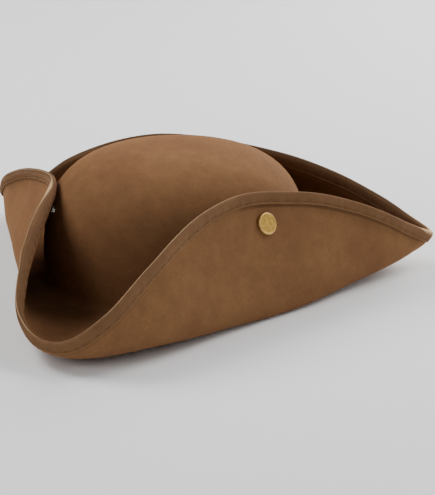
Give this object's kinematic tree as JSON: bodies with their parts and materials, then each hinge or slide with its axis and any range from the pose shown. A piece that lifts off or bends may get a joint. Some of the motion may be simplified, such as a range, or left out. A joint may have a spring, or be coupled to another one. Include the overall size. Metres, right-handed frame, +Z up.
{
  "type": "tricorn hat",
  "caption": "Tricorn hat: a domed felt crown in a wide brim turned up into flaps around a pointed front, with a bound edge and brass caps that hold each flap to the crown.",
  "frame": {"origin": "under the middle of the hat's own box, on the plane that the brim rests on", "axes": "+Z up out of the crown, -Y towards the pointed front corner, -X towards the wearer's right side"},
  "size_m": [0.347, 0.3388, 0.107],
  "materials": {
    "felt": "brushed felt with a suede nap",
    "binding": "folded felt strip, stitched",
    "brass": "antique, pressed",
    "nickel": "nickel plated"
  },
  "bodies": {
    "root": {"crown": "felt", "brim": "felt", "edge_binding": "binding", "snap_cap_right": "brass", "snap_cap_left": "brass", "snap_cap_rear": "brass", "snap_post_right": "nickel", "snap_post_left": "nickel", "snap_post_rear": "nickel"}
  },
  "joints": []
}
